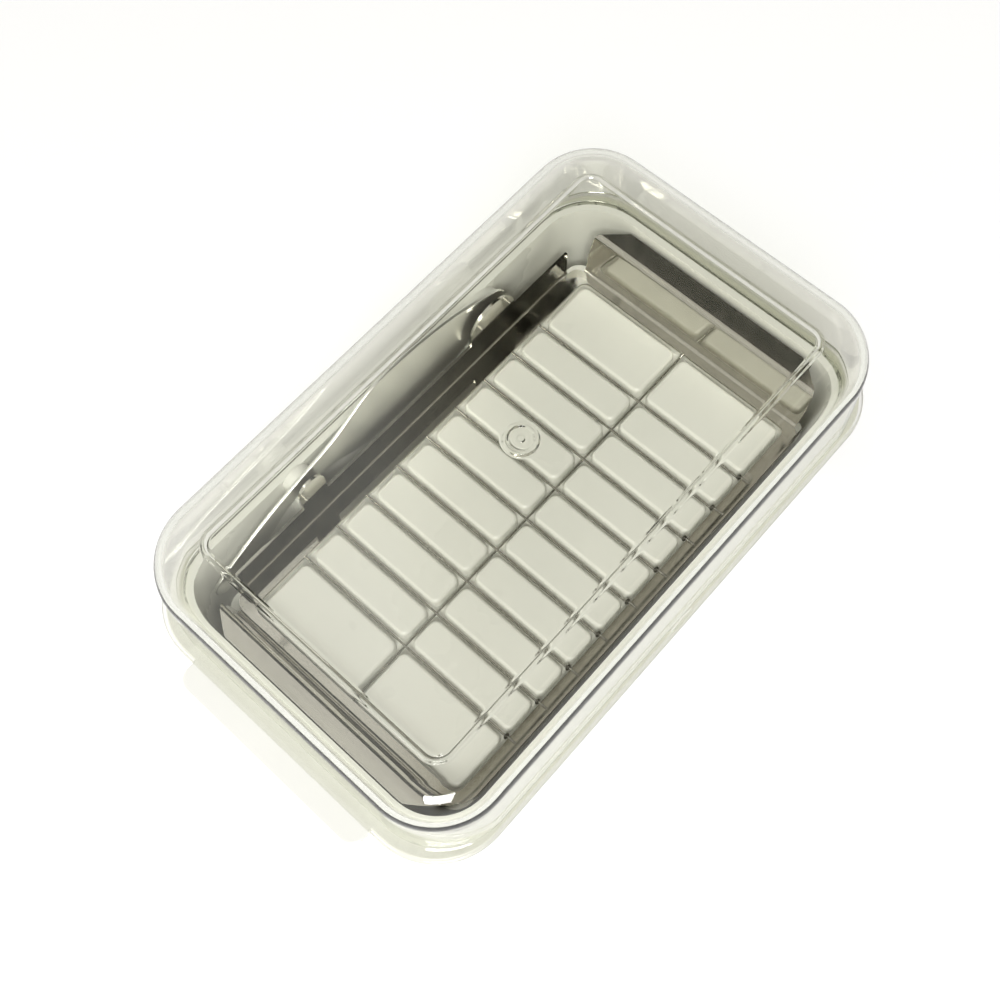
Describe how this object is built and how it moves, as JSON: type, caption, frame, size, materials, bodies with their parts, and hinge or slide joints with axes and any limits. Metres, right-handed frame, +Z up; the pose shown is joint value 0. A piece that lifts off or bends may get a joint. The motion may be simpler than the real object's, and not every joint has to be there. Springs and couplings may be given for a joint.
{
  "type": "butter cutting case",
  "caption": "Butter cutting case with an ivory block-field tray, a polished steel frame strung with wires, a steel butter knife in a side trough and a clear lid with a raised panel.",
  "frame": {"origin": "On the table, under the middle of the whole outline with its finger tab.", "axes": "+X along the long side, away from the finger tab; +Y across, towards the knife; +Z up."},
  "size_m": [0.1752, 0.1036, 0.0608],
  "materials": {
    "ivory_plastic": "moulded, satin gloss",
    "clear_plastic": "clear, faintly smoky moulding",
    "polished_steel": "mirror polished stainless sheet",
    "steel_wire": "drawn stainless wire"
  },
  "bodies": {
    "tray": {"base_tray": "ivory_plastic", "handle_rest": "ivory_plastic", "blade_rest": "ivory_plastic"},
    "cutter": {"cutter_frame": "polished_steel", "cross_wire_1": "steel_wire", "cross_wire_2": "steel_wire", "cross_wire_3": "steel_wire", "cross_wire_4": "steel_wire", "cross_wire_5": "steel_wire", "cross_wire_6": "steel_wire", "cross_wire_7": "steel_wire", "cross_wire_8": "steel_wire", "cross_wire_9": "steel_wire", "long_wire": "steel_wire", "wire_beads": "polished_steel"},
    "knife": {"butter_knife": "polished_steel"},
    "cover": {"lid": "clear_plastic"}
  },
  "joints": [
    {"name": "cutter_lift", "type": "slide", "parent": "tray", "child": "cutter", "axis": [0, 0, 1], "range_m": [0, 0.05]},
    {"name": "knife_lift", "type": "slide", "parent": "cutter", "child": "knife", "axis": [0, 0, 1], "range_m": [0, 0.06]},
    {"name": "lid_lift", "type": "slide", "parent": "knife", "child": "cover", "axis": [0, 0, 1], "range_m": [0, 0.08]}
  ]
}
